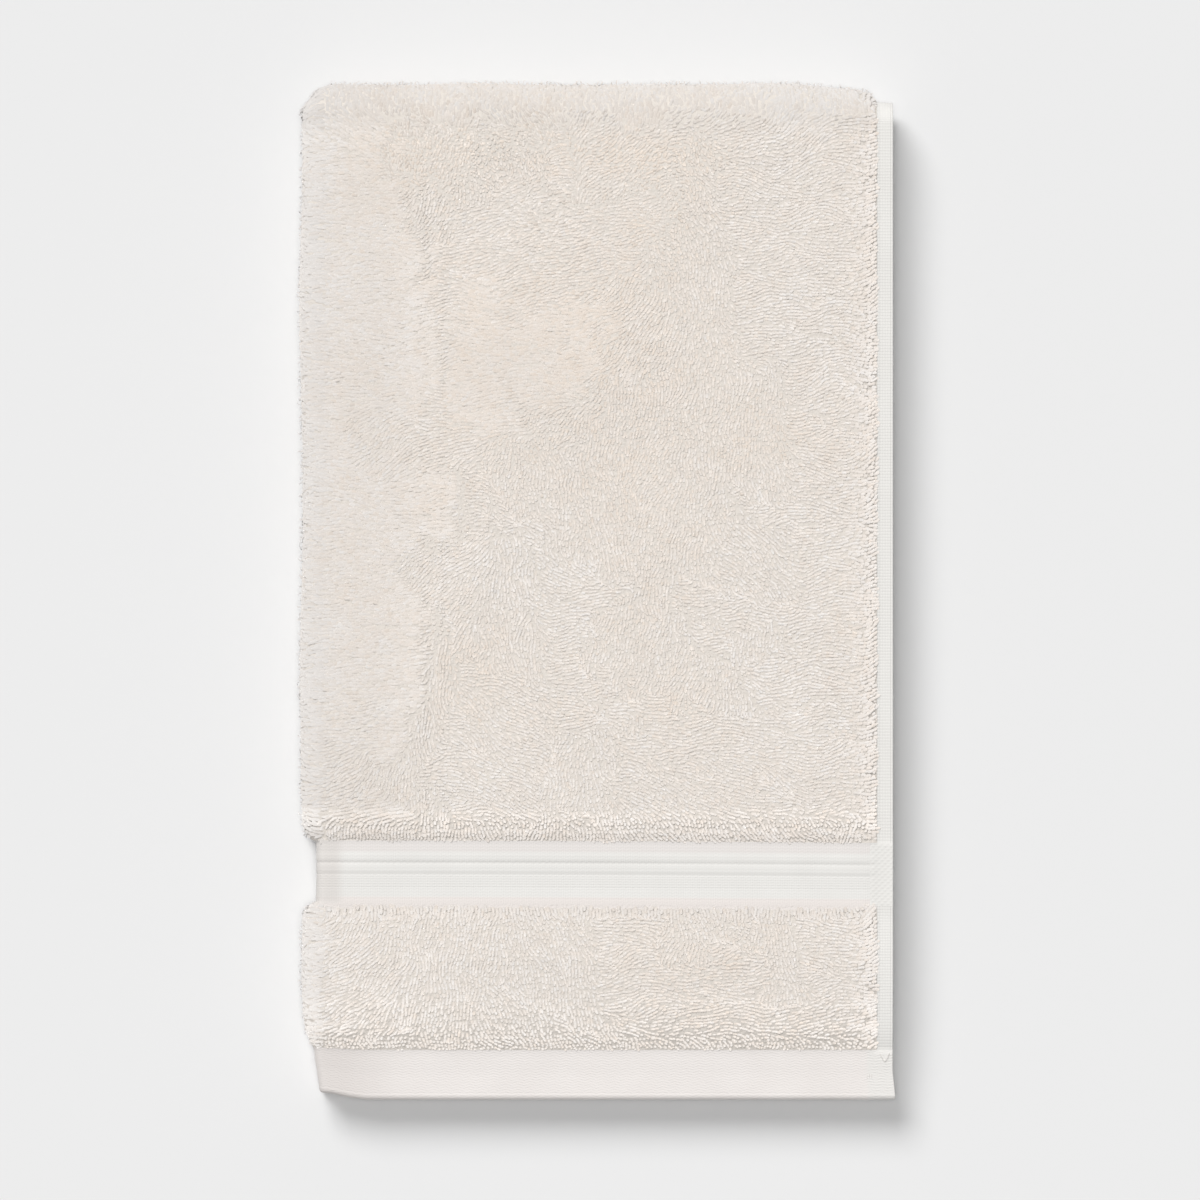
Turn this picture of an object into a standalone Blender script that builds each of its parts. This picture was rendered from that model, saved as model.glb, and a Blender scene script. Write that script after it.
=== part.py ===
"""A terry hand towel, folded in half lengthwise and then in half crosswise, lying flat.

The cloth is laid out flat as a slab of two faces. Each of its points is then carried through the lengthwise
fold, which lies along -X, and the crosswise fold, which lies along +Y. The woven side edges lie along +X and
the hemmed ends along -Y. All sizes are in metres.
"""

import math
from collections import namedtuple

import bmesh
import bpy

# The cloth laid flat
WIDTH = 0.4064
LENGTH = 0.7112
SIDE_EDGE_THICK = 0.0020
TERRY_THICK = 0.0060
TERRY_PITCH = 0.0065

# Where each fold begins, from the side edges and from the hemmed ends
SIDE_STRAIGHT = 0.1973
END_STRAIGHT = 0.3392
SIDE_FOLD_STEPS = 10
END_FOLD_STEPS = 16

# The rounded corner where both folds meet
CORNER_ROUND = 0.012

# The pale parting pressed along the towel, beside the lengthwise fold
PARTING_AT = 0.1596
PARTING_WIDTH = 0.0034
PARTING_DEPTH = 0.0002
PARTING_FROM = 0.106
PARTING_TO = 0.318

# Lines across the cloth near each end, by distance from the end. rest is the height of the lowest
# layer's middle, and snug is how far the lengthwise fold is drawn out (1 is half round).
EndLine = namedtuple("EndLine", "place thick pitch rest snug")
END_LINES = (
    EndLine(0.0000, 0.0017, 0.0044, 0.0010, 0.72),  # hem: rolled edge
    EndLine(0.0003, 0.0024, 0.0045, 0.0012, 0.73),
    EndLine(0.0009, 0.0027, 0.0046, 0.0014, 0.75),
    EndLine(0.0020, 0.0025, 0.0047, 0.0013, 0.76),
    EndLine(0.0090, 0.0024, 0.0050, 0.0012, 0.80),
    EndLine(0.0160, 0.0026, 0.0053, 0.0013, 0.86),
    EndLine(0.0174, 0.0030, 0.0053, 0.0015, 0.94),  # terry below the border
    EndLine(0.0200, 0.0040, 0.0054, 0.0020, 1.04),
    EndLine(0.0240, 0.0050, 0.0057, 0.0025, 1.18),
    EndLine(0.0300, 0.0055, 0.0060, 0.0028, 1.26),
    EndLine(0.0400, 0.0059, 0.0063, 0.0030, 1.30),
    EndLine(0.0480, 0.0060, 0.0065, 0.0030, 1.30),
    EndLine(0.0640, 0.0060, 0.0065, 0.0030, 1.30),
    EndLine(0.0670, 0.0052, 0.0065, 0.0030, 1.24),
    EndLine(0.0694, 0.0024, 0.0066, 0.0029, 0.78),  # woven border
    EndLine(0.0782, 0.0023, 0.0066, 0.0029, 0.74),
    EndLine(0.0791, 0.0021, 0.0066, 0.0029, 0.74),  # second groove
    EndLine(0.0800, 0.0025, 0.0066, 0.0029, 0.74),  # wide rib
    EndLine(0.0820, 0.0025, 0.0066, 0.0029, 0.74),
    EndLine(0.0830, 0.0021, 0.0066, 0.0029, 0.74),  # first groove
    EndLine(0.0840, 0.0026, 0.0066, 0.0029, 0.74),  # narrow rib
    EndLine(0.0856, 0.0026, 0.0066, 0.0029, 0.74),
    EndLine(0.0866, 0.0023, 0.0066, 0.0029, 0.74),
    EndLine(0.0900, 0.0024, 0.0066, 0.0029, 0.76),
    EndLine(0.0912, 0.0042, 0.0065, 0.0029, 1.16),  # main terry
    EndLine(0.0960, 0.0060, 0.0065, 0.0030, 1.30),
)
MAIN_LINES = (0.110, 0.145, 0.180, 0.215, 0.250, 0.283, 0.308, 0.326)

# Lines along the cloth near each side edge, by distance from the edge. pile is the share of the terry's
# extra thickness that has been reached, and round is how far the crosswise fold is drawn out.
SideLine = namedtuple("SideLine", "place pile round")
SIDE_LINES = (
    SideLine(0.0000, 0.00, 0.70),  # woven side edge
    SideLine(0.0054, 0.02, 0.72),
    SideLine(0.0064, 0.55, 0.80),  # terry
    SideLine(0.0080, 0.85, 0.86),
    SideLine(0.0120, 1.00, 0.96),
    SideLine(0.0330, 1.00, 1.09),
)
OUTER_LINES = (0.063, 0.095, 0.125, 0.155, 0.1596, 0.164, 0.181, 0.191)
INNER_LINES = (0.100, 0.180)

# How far each layer's free edges lie back from the top layer's, from the lowest layer up
Layer = namedtuple("Layer", "side_back end_back")
LAYERS = (
    Layer(0.0006, 0.0008),
    Layer(0.0016, 0.0021),
    Layer(0.0011, 0.0015),
    Layer(0.0000, 0.0000),
)

# Slow swells of the pile on the top face: size, wavelengths across and along, and shifts
Swell = namedtuple("Swell", "height across along shift_across shift_along")
SWELLS = (
    Swell(0.00032, 0.088, 0.140, 0.7, 2.1),
    Swell(0.00024, 0.051, 0.083, 2.9, 0.4),
    Swell(0.00018, 0.170, 0.061, 1.2, 4.0),
)


def smooth(low, high, value):
    """0 up to low and 1 from high, eased between."""
    share = min(max((value - low) / (high - low), 0.0), 1.0)
    return share * share * (3 - 2 * share)


def between(lines, place):
    """The row of the table at this place, worked out between its two neighbours."""
    if place <= lines[0].place:
        return lines[0]
    for low, high in zip(lines, lines[1:]):
        if place <= high.place:
            share = (place - low.place) / (high.place - low.place)
            return type(low)(*(a + (b - a) * share for a, b in zip(low, high)))
    return lines[-1]


def across_lines():
    """Places across the cloth, from the outer layers' side edge to the inner layers' side edge."""
    side = [line.place for line in SIDE_LINES]
    fold = WIDTH - 2 * SIDE_STRAIGHT
    turn = [SIDE_STRAIGHT + fold * k / SIDE_FOLD_STEPS for k in range(SIDE_FOLD_STEPS + 1)]
    inner = [WIDTH - place for place in reversed(side[:-1] + list(INNER_LINES))]
    return side + list(OUTER_LINES) + turn + inner


def along_lines():
    """Places along the cloth, from the lower hemmed end to the upper one."""
    end = [line.place for line in END_LINES] + list(MAIN_LINES)
    fold = LENGTH - 2 * END_STRAIGHT
    turn = [END_STRAIGHT + fold * k / END_FOLD_STEPS for k in range(END_FOLD_STEPS + 1)]
    return end + turn + [LENGTH - place for place in reversed(end)]


def turned(place, straight, whole):
    """Angle through a fold: 0 before it, half a turn after it."""
    return math.pi * min(max((place - straight) / (whole - 2 * straight), 0.0), 1.0)


def swell(side, end):
    """Height of the pile's slow swells and of the parting, on the top face."""
    height = 0.0
    for row in SWELLS:
        height += (
            row.height
            * math.sin(2 * math.pi * side / row.across + row.shift_across)
            * math.sin(2 * math.pi * end / row.along + row.shift_along)
        )
    height *= smooth(0.006, 0.030, side) * smooth(0.094, 0.120, end)
    pressed = 1 - smooth(0.0, PARTING_WIDTH, abs(side - PARTING_AT))
    length = smooth(PARTING_FROM - 0.02, PARTING_FROM, end) - smooth(PARTING_TO, PARTING_TO + 0.02, end)
    return height - PARTING_DEPTH * pressed * length


def layer_back(inner, upper):
    """The row of the layer table: outer cloth is lowest and highest, inner cloth lies between."""
    return LAYERS[(2 if inner else 3) if upper else (1 if inner else 0)]


def outline(side, end, reach_side, reach_end):
    """The towel's uneven outline: a point's place seen from above, from the free side and end edges."""
    # The lengthwise fold wavers a little, and the free corner of the side edges flares
    side += 0.0004 * math.sin(end / 0.021 + 1.0) * smooth(0.150, 0.200, side)
    side -= 0.0009 * (1 - smooth(0.0, 0.012, end)) * (1 - smooth(0.0, 0.040, side))
    # The border runs slightly askew
    askew = smooth(0.040, 0.070, end) - smooth(0.085, 0.120, end)
    place = side / 0.100 - 1.0
    end += askew * (0.0005 * place - 0.0002 * place**2 - 0.0006)
    # The hem is drawn up and in where it is folded
    end += 0.0024 * smooth(0.184, 0.200, side) * (1 - smooth(0.0, 0.030, end))
    side -= 0.0012 * smooth(0.170, 0.200, side) * (1 - smooth(0.0, 0.016, end))
    # The corner where both folds meet is round
    x = max(side - (reach_side - CORNER_ROUND), 0.0)
    y = max(end - (reach_end - CORNER_ROUND), 0.0)
    side += x * (math.sqrt(1 - 0.5 * (y / CORNER_ROUND) ** 2) - 1)
    end += y * (math.sqrt(1 - 0.5 * (x / CORNER_ROUND) ** 2) - 1)
    return side, end


def folded(across, along, face):
    """Where a point of the flat cloth comes to lie. face is 1 outside the lengthwise fold and -1 inside."""
    side, end = min(across, WIDTH - across), min(along, LENGTH - along)
    edge, line = between(SIDE_LINES, side), between(END_LINES, end)
    woven = min(SIDE_EDGE_THICK, line.thick) if end > 0.0170 else line.thick
    thick = woven + (line.thick - woven) * edge.pile
    inner, upper = across > WIDTH / 2, along > LENGTH / 2
    out = face * thick / 2
    if face > 0 and upper and not inner:
        out += swell(side, end) * edge.pile

    # The lengthwise fold: depth is measured through the pair of layers, from its middle
    turn = turned(across, SIDE_STRAIGHT, WIDTH)
    radius = line.pitch / 2 + out
    side = min(side, SIDE_STRAIGHT) + line.snug * radius * math.sin(turn)
    depth = -math.cos(turn) * radius

    # The crosswise fold of that pair
    bend = turned(along, END_STRAIGHT, LENGTH)
    radius = line.pitch - depth
    end = min(end, END_STRAIGHT) + edge.round * radius * math.sin(bend)
    height = 2 * line.pitch - radius * math.cos(bend) + line.rest - line.pitch / 2

    # Free edges lie back a little from the top layer's, away from the folds, and the woven side edge droops
    back = layer_back(inner, upper)
    far_side, far_end = smooth(0.120, 0.190, side), smooth(0.200, 0.320, end)
    side += back.side_back * (1 - smooth(0.0, 0.060, side)) * (1 - far_end)
    end += back.end_back * (1 - smooth(0.0, 0.060, end)) * (1 - far_side)
    height -= 0.0007 * (1 - smooth(0.0, 0.010, side)) * smooth(0.020, 0.030, end)

    reach_side = SIDE_STRAIGHT + 1.30 * (TERRY_PITCH + TERRY_THICK) / 2
    reach_end = END_STRAIGHT + 1.09 * (3 * TERRY_PITCH + TERRY_THICK) / 2
    side, end = outline(side, end, reach_side, reach_end)
    return -side, end, height


def towel_mesh():
    """A flat grid made a slab of two faces, with each of its points carried to its folded place."""
    rows, columns = along_lines(), across_lines()
    bm = bmesh.new()
    bmesh.ops.create_grid(bm, x_segments=len(columns) - 1, y_segments=len(rows) - 1, size=0.5)
    bmesh.ops.solidify(bm, geom=bm.faces[:], thickness=1.0)
    middle = sum(vert.co.z for vert in bm.verts) / len(bm.verts)
    for vert in bm.verts:
        column = round((vert.co.x + 0.5) * (len(columns) - 1))
        row = round((vert.co.y + 0.5) * (len(rows) - 1))
        face = 1 if vert.co.z < middle else -1
        vert.co = folded(columns[column], rows[row], face)
    lows = [min(vert.co[axis] for vert in bm.verts) for axis in range(3)]
    highs = [max(vert.co[axis] for vert in bm.verts) for axis in range(3)]
    centre = [(low + high) / 2 for low, high in zip(lows, highs)]
    for vert in bm.verts:
        vert.co.x -= centre[0]
        vert.co.y -= centre[1]
        vert.co.z -= lows[2]
    bmesh.ops.recalc_face_normals(bm, faces=bm.faces[:])
    for face in bm.faces:
        face.smooth = True
    mesh = bpy.data.meshes.new("towel")
    bm.to_mesh(mesh)
    bm.free()
    mesh.set_sharp_from_angle(angle=math.radians(50))
    return mesh


def cotton():
    """Cream cotton, without shine."""
    material = bpy.data.materials.new("cream_cotton")
    material.use_nodes = True
    shader = material.node_tree.nodes["Principled BSDF"]
    shader.inputs["Base Color"].default_value = (0.79, 0.74, 0.68, 1.0)
    shader.inputs["Roughness"].default_value = 0.95
    shader.inputs["Metallic"].default_value = 0.0
    return material


for old in list(bpy.data.objects):
    bpy.data.objects.remove(old, do_unlink=True)

collection = bpy.data.collections.new("hand_towel")
bpy.context.scene.collection.children.link(collection)
towel = bpy.data.objects.new("towel", towel_mesh())
towel.data.materials.append(cotton())
collection.objects.link(towel)
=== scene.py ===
"""Dresses the folded terry hand towel, and sets up its camera, floor and light.

The cloth is one closed mesh on the same folds as the CAD solid, with the woven border, hem and side edges
in finer relief. Its terry is a thinner ground cloth, from which joined meshes of loops stand up to the
solid's faces. A loop's root is a place on the cloth laid flat, so the pile follows every fold. All sizes are
in metres, but for the first columns of the tables that say so.
"""

import math
from collections import namedtuple

import bpy
import numpy as np
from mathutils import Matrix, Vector


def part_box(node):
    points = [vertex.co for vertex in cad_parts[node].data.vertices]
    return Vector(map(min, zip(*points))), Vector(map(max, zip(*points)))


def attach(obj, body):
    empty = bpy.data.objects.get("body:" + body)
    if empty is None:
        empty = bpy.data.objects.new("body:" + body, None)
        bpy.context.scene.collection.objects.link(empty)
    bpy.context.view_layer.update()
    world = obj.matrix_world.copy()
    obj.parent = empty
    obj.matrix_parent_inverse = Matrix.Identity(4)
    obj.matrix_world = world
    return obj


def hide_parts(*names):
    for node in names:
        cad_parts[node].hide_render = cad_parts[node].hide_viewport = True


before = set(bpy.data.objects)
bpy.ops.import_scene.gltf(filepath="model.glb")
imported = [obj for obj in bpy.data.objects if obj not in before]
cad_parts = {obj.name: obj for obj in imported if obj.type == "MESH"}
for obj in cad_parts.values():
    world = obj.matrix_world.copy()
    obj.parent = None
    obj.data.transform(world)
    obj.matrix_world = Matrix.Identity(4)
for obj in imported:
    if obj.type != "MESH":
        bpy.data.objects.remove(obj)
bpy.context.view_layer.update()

# The cloth laid flat
WIDTH = 0.4064
LENGTH = 0.7112
SIDE_EDGE_THICK = 0.002
TERRY_THICK = 0.006
TERRY_PITCH = 0.0065

# The ground cloth under the pile: its thickness, which it reaches over a taper from the edge of the terry
GROUND_THICK = 0.0055
GROUND_EDGE = 0.003
GROUND_TAPER = 0.0055

# Where each fold begins, from the side edges and from the hemmed ends
SIDE_STRAIGHT = 0.1973
END_STRAIGHT = 0.3392
CORNER_ROUND = 0.012

# The pale parting pressed along the towel, beside the lengthwise fold
PARTING_AT = 0.1596
PARTING_WIDTH = 0.0034
PARTING_DEPTH = 0.0002
PARTING_FROM = 0.106
PARTING_TO = 0.318


def in_metres(kind, sizes, *rows):
    """A table's rows. Their first columns, as many as sizes says, are written in millimetres."""
    return tuple(kind(*(round(value / 1000, 6) for value in row[:sizes]), *row[sizes:]) for row in rows)


# Lines across the cloth near each end, by distance from the end. rest is the height of the lowest
# layer's middle, and snug is how far the lengthwise fold is drawn out (1 is half round).
EndLine = namedtuple("EndLine", "place thick pitch rest snug")
END_LINES = in_metres(
    EndLine,
    4,
    (0, 1.7, 4.4, 1, 0.72),  # hem: rolled edge
    (0.3, 2.4, 4.5, 1.2, 0.73),
    (0.9, 2.7, 4.6, 1.4, 0.75),
    (2, 2.5, 4.7, 1.3, 0.76),
    (9, 2.4, 5, 1.2, 0.8),
    (16, 2.6, 5.3, 1.3, 0.86),
    (17.4, 3, 5.3, 1.5, 0.94),  # terry below the border
    (20, 4, 5.4, 2, 1.04),
    (24, 5, 5.7, 2.5, 1.18),
    (30, 5.5, 6, 2.8, 1.26),
    (40, 5.9, 6.3, 3, 1.3),
    (48, 6, 6.5, 3, 1.3),
    (64, 6, 6.5, 3, 1.3),
    (67, 5.2, 6.5, 3, 1.24),
    (69.4, 2.4, 6.6, 2.9, 0.78),  # woven border
    (78.2, 2.3, 6.6, 2.9, 0.74),
    (79.1, 2.1, 6.6, 2.9, 0.74),  # second groove
    (80, 2.5, 6.6, 2.9, 0.74),  # wide rib
    (82, 2.5, 6.6, 2.9, 0.74),
    (83, 2.1, 6.6, 2.9, 0.74),  # first groove
    (84, 2.6, 6.6, 2.9, 0.74),  # narrow rib
    (85.6, 2.6, 6.6, 2.9, 0.74),
    (86.6, 2.3, 6.6, 2.9, 0.74),
    (90, 2.4, 6.6, 2.9, 0.76),
    (91.2, 4.2, 6.5, 2.9, 1.16),  # main terry
    (96, 6, 6.5, 3, 1.3),
)

# Lines along the cloth near each side edge, by distance from the edge. pile is the share of the terry's
# extra thickness that has been reached, and round is how far the crosswise fold is drawn out.
SideLine = namedtuple("SideLine", "place pile round")
SIDE_LINES = in_metres(
    SideLine,
    1,
    (0, 0, 0.7),  # woven side edge
    (5.4, 0.02, 0.72),
    (6.4, 0.55, 0.8),  # terry
    (8, 0.85, 0.86),
    (12, 1, 0.96),
    (33, 1, 1.09),
)

# How far each layer's free edges lie back from the top layer's, from the lowest layer up
Layer = namedtuple("Layer", "side_back end_back")
LAYERS = in_metres(
    Layer,
    2,
    (0.6, 0.8),
    (1.6, 2.1),
    (1.1, 1.5),
    (0, 0),
)

# Slow swells of the pile on the top face: size, wavelengths across and along, and shifts
Swell = namedtuple("Swell", "height across along shift_across shift_along")
SWELLS = (
    Swell(0.00032, 0.088, 0.14, 0.7, 2.1),
    Swell(0.00024, 0.051, 0.083, 2.9, 0.4),
    Swell(0.00018, 0.17, 0.061, 1.2, 4.0),
)

# Where each weave begins and ends, by distance from the side edge and from the end
HEM_TO = 0.0174
BORDER_FROM, BORDER_TO = 0.069, 0.0905
CHECKS_SIDE = 0.009
TERRY_SIDE = 0.006
TERRY_ENDS = ((HEM_TO, BORDER_FROM), (0.0906, LENGTH / 2))
PILE_SIDE = 0.0064
PILE_ENDS = ((0.018, 0.0687), (0.0914, LENGTH / 2))


def eased(low, high, value):
    """0 up to low and 1 from high, eased between."""
    share = np.clip((value - low) / (high - low), 0.0, 1.0)
    return share * share * (3 - 2 * share)


def column(lines, name, place):
    """One column of a table at these places, worked out between its rows."""
    return np.interp(place, [row.place for row in lines], [getattr(row, name) for row in lines])


def turned(place, straight, whole):
    """Angle through a fold: 0 before it, half a turn after it."""
    return math.pi * np.clip((place - straight) / (whole - 2 * straight), 0.0, 1.0)


def from_edges(across, along):
    """Distances from the nearer side edge and from the nearer end."""
    return np.minimum(across, WIDTH - across), np.minimum(along, LENGTH - along)


def swell(side, end):
    """Height of the pile's slow swells and of the parting, on the top face."""
    height = 0.0
    for row in SWELLS:
        height = height + (
            row.height
            * np.sin(2 * math.pi * side / row.across + row.shift_across)
            * np.sin(2 * math.pi * end / row.along + row.shift_along)
        )
    height = height * eased(0.006, 0.03, side) * eased(0.094, 0.12, end)
    pressed = 1 - eased(0.0, PARTING_WIDTH, np.abs(side - PARTING_AT))
    length = eased(PARTING_FROM - 0.02, PARTING_FROM, end) - eased(PARTING_TO, PARTING_TO + 0.02, end)
    return height - PARTING_DEPTH * pressed * length


def face_out(across, along, face):
    """How far the solid's face lies from the middle of its layer, outwards from the lengthwise fold."""
    side, end = from_edges(across, along)
    thick, pile = column(END_LINES, "thick", end), column(SIDE_LINES, "pile", side)
    woven = np.where(end > 0.017, np.minimum(SIDE_EDGE_THICK, thick), thick)
    return face * (woven + (thick - woven) * pile) / 2 + raised(across, along, face)


def raised(across, along, face):
    """The part of face_out that comes from swells, on the top face alone."""
    side, end = from_edges(across, along)
    top = (face > 0) & (along > LENGTH / 2) & (across <= WIDTH / 2)
    return np.where(top, swell(side, end) * column(SIDE_LINES, "pile", side), 0.0)


def ground_out(across, along, face):
    """How far the cloth's own face lies from the middle of its layer. Under pile it is the ground's."""
    swelling = raised(across, along, face)
    flat = np.abs(face_out(across, along, face) - swelling)
    side, end = from_edges(across, along)
    inside = side - TERRY_SIDE
    (low, high), (main, _) = TERRY_ENDS
    within = np.maximum(np.minimum(end - low, high - end), end - main)
    deep = eased(0, GROUND_TAPER, np.minimum(inside, within))
    return face * np.minimum(flat, (GROUND_EDGE + (GROUND_THICK - GROUND_EDGE) * deep) / 2) + swelling


def outline(side, end, reach_side, reach_end):
    """The towel's uneven outline: a point's place seen from above, from the free side and end edges."""
    side = side + 0.0004 * np.sin(end / 0.021 + 1.0) * eased(0.15, 0.2, side)
    side = side - 0.0009 * (1 - eased(0.0, 0.012, end)) * (1 - eased(0.0, 0.04, side))
    askew = eased(0.04, 0.07, end) - eased(0.085, 0.12, end)
    place = side / 0.1 - 1.0
    end = end + askew * (0.0005 * place - 0.0002 * place**2 - 0.0006)
    end = end + 0.0024 * eased(0.184, 0.2, side) * (1 - eased(0.0, 0.03, end))
    side = side - 0.0012 * eased(0.17, 0.2, side) * (1 - eased(0.0, 0.016, end))
    x = np.maximum(side - (reach_side - CORNER_ROUND), 0.0)
    y = np.maximum(end - (reach_end - CORNER_ROUND), 0.0)
    kept_x = np.sqrt(1 - 0.5 * (y / CORNER_ROUND) ** 2)
    kept_y = np.sqrt(1 - 0.5 * (x / CORNER_ROUND) ** 2)
    return side + x * (kept_x - 1), end + y * (kept_y - 1)


def folded(across, along, out):
    """Where points of the flat cloth come to lie, with the same centring as the solid."""
    side, end = from_edges(across, along)
    inner, upper = across > WIDTH / 2, along > LENGTH / 2
    pitch, rest, snug = (column(END_LINES, name, end) for name in ("pitch", "rest", "snug"))

    # The lengthwise fold: depth is measured through the pair of layers, from its middle
    turn = turned(across, SIDE_STRAIGHT, WIDTH)
    radius = pitch / 2 + out
    round_out = column(SIDE_LINES, "round", side)
    side = np.minimum(side, SIDE_STRAIGHT) + snug * radius * np.sin(turn)
    depth = -np.cos(turn) * radius

    # The crosswise fold of that pair
    bend = turned(along, END_STRAIGHT, LENGTH)
    radius = pitch - depth
    end = np.minimum(end, END_STRAIGHT) + round_out * radius * np.sin(bend)
    height = 2 * pitch - radius * np.cos(bend) + rest - pitch / 2

    # Free edges lie back a little from the top layer's, away from the folds, and the woven side edge droops
    which = np.where(upper, np.where(inner, 2, 3), np.where(inner, 1, 0))
    side_back, end_back = (np.array(values)[which] for values in zip(*LAYERS))
    far_side, far_end = eased(0.12, 0.19, side), eased(0.2, 0.32, end)
    side = side + side_back * (1 - eased(0.0, 0.06, side)) * (1 - far_end)
    end = end + end_back * (1 - eased(0.0, 0.06, end)) * (1 - far_side)
    height = height - 0.0007 * (1 - eased(0.0, 0.01, side)) * eased(0.02, 0.03, end)

    reach_side = SIDE_STRAIGHT + 1.3 * (TERRY_PITCH + TERRY_THICK) / 2
    reach_end = END_STRAIGHT + 1.09 * (3 * TERRY_PITCH + TERRY_THICK) / 2
    side, end = outline(side, end, reach_side, reach_end)
    return np.stack([-side, end, height], axis=-1)


def spaced(low, high, pitch):
    """Even places from low to high, about pitch apart."""
    return np.linspace(low, high, max(2, round((high - low) / pitch) + 1))


def joined(*runs):
    """Runs of places as one rising list without repeats."""
    return np.unique(np.round(np.concatenate(runs), 6))


def centring():
    """What moves folded() onto the CAD solid: the middle of its box and its lowest point."""
    across, along = np.meshgrid(spaced(0, WIDTH, 0.0008), spaced(0, LENGTH, 0.0008), indexing="ij")
    points = np.concatenate(
        [folded(across, along, face_out(across, along, face)).reshape(-1, 3) for face in (1, -1)]
    )
    low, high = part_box("towel")
    shift = (np.array(low) + np.array(high)) / 2 - (points.min(0) + points.max(0)) / 2
    shift[2] = low[2] - points[:, 2].min()
    return shift


SHIFT = centring()


def laid(across, along, out):
    """folded(), in the CAD's own frame."""
    return folded(across, along, out) + SHIFT


RIPPLES = 9  # how many waves make up one unevenness


def ripple(x, y, wavelength, seed):
    """Smooth unevenness that mostly stays between -1.5 and 1.5, from waves in several directions."""
    rng = np.random.default_rng(seed)
    total = 0.0
    for heading, shift, stretch in zip(*rng.uniform(0, 1, (3, RIPPLES))):
        heading *= 2 * math.pi
        length = wavelength * (0.7 + 0.8 * stretch)
        along = (x * math.cos(heading) + y * math.sin(heading)) / length
        total = total + np.sin(2 * math.pi * (along + shift))
    return total / math.sqrt(RIPPLES / 2)


# ---- materials

# Colours: each woven cloth's threads with painted light and the painted shade between them, then its colour
# marks: real tints, and painted shade at the lengthwise fold
SIDE_TINT, SIDE_SHADE = (0.815, 0.802, 0.772), (0.74, 0.724, 0.695)
SIDE_PALE = (0.85, 0.836, 0.808)
BORDER_TINT, BORDER_SHADE = (0.799, 0.786, 0.76), (0.718, 0.703, 0.675)
TOP_PINK, STRIP_PINK, LOW_PINK = (0.768, 0.724, 0.7), (0.8, 0.75, 0.718), (0.73, 0.684, 0.654)
# Painted shade where the border wraps round the lengthwise fold
WRAP_PAINTED_SHADE = (0.69, 0.655, 0.625)
HEM_TINT, HEM_SHADE = (0.87, 0.83, 0.802), (0.795, 0.75, 0.722)
# Painted shade where the hem wraps round the lengthwise fold, fading away from it
HEM_PAINTED_SHADE = (0.74, 0.695, 0.668)
# Painted shade: the ground cloth between loops is darker than the loops
GROUND_SHADE_DARK, GROUND_SHADE_PALE = (0.68, 0.625, 0.565), (0.76, 0.715, 0.665)
PILE_BEIGE, PILE_PALE = (0.858, 0.766, 0.682), (0.905, 0.871, 0.844)
# Painted shade towards the loops' roots
ROOT_SHADE_BEIGE, ROOT_SHADE_PALE = (0.635, 0.556, 0.484), (0.672, 0.634, 0.6)
THREAD = (0.8, 0.76, 0.73)

# Lines of the border and hem, by distance from the end
STRIP, SECOND_GROOVE, FIRST_GROOVE, TOP_STRIP = 0.0697, 0.0791, 0.083, 0.0895
ROLLED_EDGE = 0.0017


def add(tree, kind, inputs=None, **settings):
    """A node with its settings and inputs. An input is a value, another node's socket or a field."""
    node = tree.nodes.new(kind)
    for name, value in settings.items():
        setattr(node, name, value)
    for name, value in (inputs or {}).items():
        if isinstance(value, Field):
            value = value.socket
        if isinstance(value, bpy.types.NodeSocket):
            tree.links.new(value, node.inputs[name])
        else:
            node.inputs[name].default_value = value
    return node


class Field:
    """A number that a material works out at every point. Fields add and multiply as numbers do."""

    def __init__(self, socket):
        self.socket = socket

    def step(self, operation, *values):
        """One step of arithmetic on this field."""
        inputs = dict(enumerate((self.socket, *values)))
        return Field(add(self.socket.id_data, "ShaderNodeMath", inputs, operation=operation).outputs[0])

    def __add__(self, other):
        return self.step("ADD", other)

    def __sub__(self, other):
        return self.step("SUBTRACT", other)

    def __mul__(self, other):
        return self.step("MULTIPLY", other)

    __radd__, __rmul__ = __add__, __mul__


def waves(place, wavelength):
    """A sine wave along this place, from -1 to 1."""
    return (place * (2 * math.pi / wavelength)).step("SINE")


def line(place, middle, half, soft):
    """1 within half of middle, fading to 0 over soft."""
    away = (place - middle).step("ABSOLUTE")
    values = {"Value": away, "From Min": half, "From Max": half + soft, "To Min": 1.0, "To Max": 0.0}
    node = add(away.socket.id_data, "ShaderNodeMapRange", values, interpolation_type="SMOOTHSTEP")
    return Field(node.outputs[0])


def from_near(place, size):
    """Distance from the nearer edge."""
    return (place - size / 2).step("ABSOLUTE") * -1.0 + size / 2


def noise(tree, place, scale, detail=2.0):
    """Blender's noise, about 0.5."""
    values = {"Vector": place, "Scale": scale, "Detail": detail}
    return Field(add(tree, "ShaderNodeTexNoise", values).outputs["Fac"])


def mixed(tree, share, first, second):
    """A colour between two others, each another node's socket or red, green and blue."""
    ends = [value if isinstance(value, bpy.types.NodeSocket) else (*value, 1.0) for value in (first, second)]
    inputs = {0: share, 6: ends[0], 7: ends[1]}
    return add(tree, "ShaderNodeMix", inputs, data_type="RGBA", clamp_factor=True).outputs[2]


def cotton(name, roughness, sheen):
    """A new cotton material, with its tree and shader."""
    material = bpy.data.materials.new(name)
    material.use_nodes = True
    shader = material.node_tree.nodes["Principled BSDF"]
    shader.inputs["Roughness"].default_value = roughness
    shader.inputs["Specular IOR Level"].default_value = 0.25
    shader.inputs["Sheen Weight"].default_value = sheen
    shader.inputs["Sheen Roughness"].default_value = 0.55
    return material, material.node_tree, shader


def surfaced(tree, shader, colour, height, distance, strength):
    """Gives a shader its colour, and bump from this height."""
    bump = add(tree, "ShaderNodeBump", {"Height": height, "Distance": distance, "Strength": strength})
    tree.links.new(colour, shader.inputs["Base Color"])
    tree.links.new(bump.outputs[0], shader.inputs["Normal"])


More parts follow.
